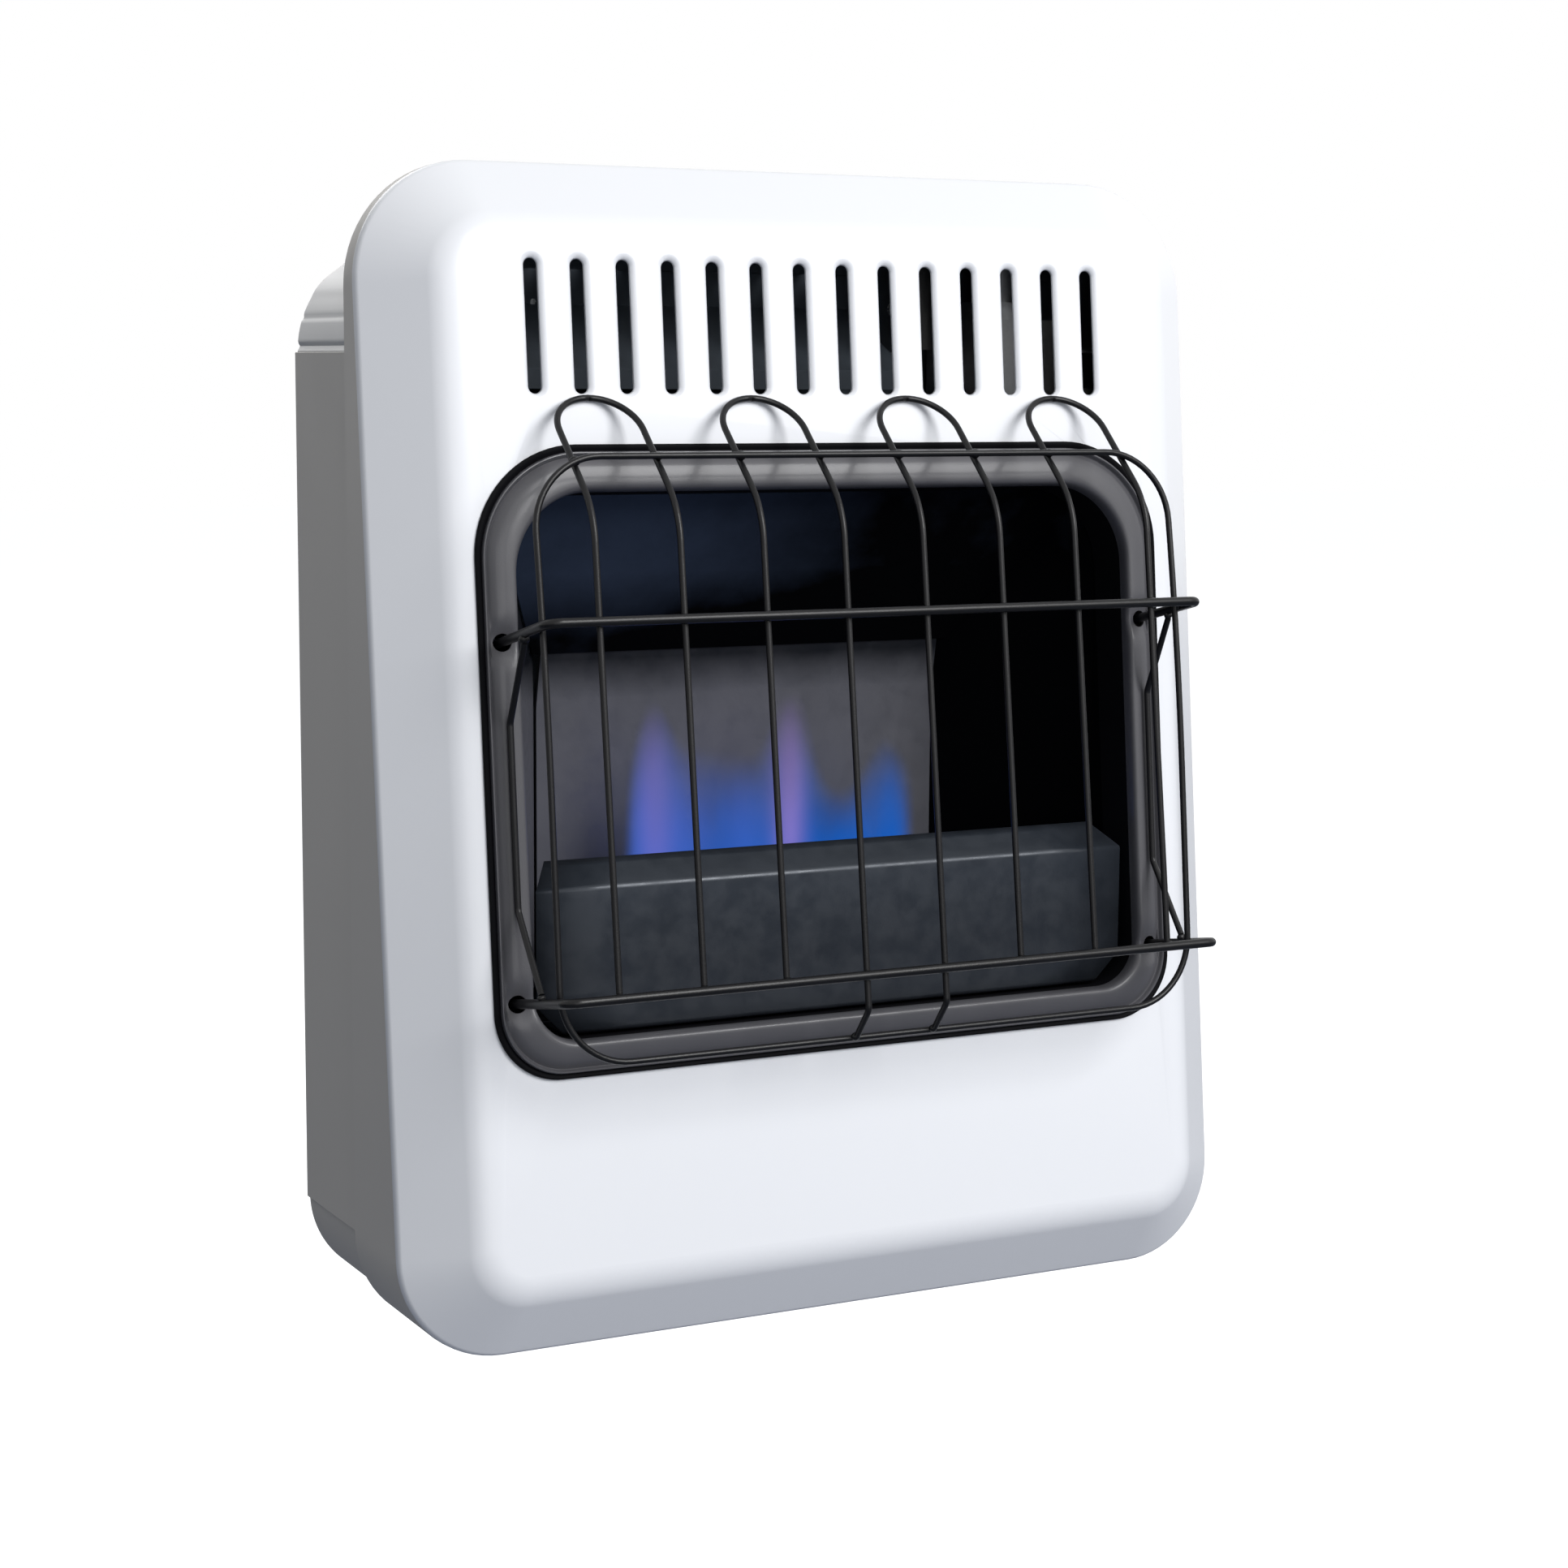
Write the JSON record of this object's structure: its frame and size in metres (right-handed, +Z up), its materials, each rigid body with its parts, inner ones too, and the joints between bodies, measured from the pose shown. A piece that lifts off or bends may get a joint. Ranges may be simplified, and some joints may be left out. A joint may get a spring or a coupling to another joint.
{
  "type": "vent-free blue flame heater",
  "caption": "Wall-hung vent-free blue flame gas heater: leaning white front panel with outlet slots, dark bezel, wire guard, open firebox, covered burner, knob and igniter button on top.",
  "frame": {"origin": "middle of the wall bracket's rear face, on the wall", "axes": "+X to the right of someone facing the heater, +Y into the wall, +Z up"},
  "size_m": [0.4, 0.1907, 0.4936],
  "materials": {
    "white_enamel": "semi-gloss white enamel",
    "dark_powder": "semi-matt dark brown-grey powder coat",
    "guard_powder": "semi-matt near-black powder coat on steel wire",
    "grey_case": "matt grey paint",
    "light_case": "galvanised-looking light grey coat",
    "zinc": "zinc-plated sheet steel",
    "soot_black": "heat-resistant matt black",
    "cover_black": "heat-resistant satin blue-black",
    "stainless": "stainless steel, heat-tinted near the flame",
    "cast_alloy": "die-cast, bead-blasted",
    "brass": "turned brass",
    "copper": "drawn copper",
    "black_plastic": "fine-grained moulding",
    "red_plastic": "moulded",
    "ceramic": "glazed ceramic insulator",
    "silicone": "silicone sleeve"
  },
  "bodies": {
    "housing": {"wall_bracket": "zinc", "back_panel": "light_case", "case_top": "light_case", "case_bottom": "grey_case", "side_plate_left": "grey_case", "side_plate_right": "grey_case", "front_panel": "white_enamel", "panel_hanger_left": "light_case", "panel_hanger_right": "light_case", "panel_screw_left": "zinc", "panel_screw_right": "zinc", "bezel": "dark_powder", "guard_upper_rod": "guard_powder", "guard_lower_rod": "guard_powder", "guard_hoop": "guard_powder", "guard_loop_1": "guard_powder", "guard_loop_2": "guard_powder", "guard_loop_3": "guard_powder", "guard_loop_4": "guard_powder", "guard_side_wire_left": "guard_powder", "guard_side_wire_right": "guard_powder", "firebox_back": "soot_black", "firebox_left": "soot_black", "firebox_right": "soot_black", "firebox_hood": "soot_black", "firebox_floor": "soot_black", "chamber_rail_lower": "zinc", "chamber_rail_upper": "zinc", "heat_deflector": "zinc", "burner_cover": "cover_black", "burner_body": "stainless", "burner_deck": "stainless", "burner_bracket_left": "zinc", "burner_bracket_right": "zinc", "orifice": "brass", "orifice_bracket": "zinc", "pilot_bracket": "stainless", "pilot_burner": "brass", "pilot_electrode": "ceramic", "thermocouple": "stainless", "gas_valve": "cast_alloy", "control_plate": "black_plastic", "piezo_igniter": "black_plastic", "regulator": "cast_alloy", "regulator_bracket": "zinc", "inlet_fitting": "brass", "supply_tube": "stainless", "manifold_tube": "stainless", "pilot_tube": "copper", "thermocouple_lead": "copper", "igniter_wire": "silicone", "thermostat_bulb": "copper", "bulb_clip": "zinc", "capillary": "copper"},
    "plunger": {"valve_plunger": "stainless"},
    "knob": {"valve_stem": "stainless", "control_knob": "black_plastic"},
    "button": {"piezo_button": "red_plastic"}
  },
  "joints": [
    {"name": "knob_push", "type": "slide", "parent": "housing", "child": "plunger", "axis": [0, 0, -1], "range_m": [0, 0.003], "stiffness_N_per_m": 1200, "springref_m": -0.001},
    {"name": "knob_turn", "type": "hinge", "parent": "plunger", "child": "knob", "pos_m": [0.13, -0.036, 0.08], "axis": [0, 0, 1], "range_deg": [-180, 60]},
    {"name": "piezo_press", "type": "slide", "parent": "housing", "child": "button", "axis": [0, 0, -1], "range_m": [0, 0.006], "stiffness_N_per_m": 2500, "springref_m": -0.001}
  ]
}
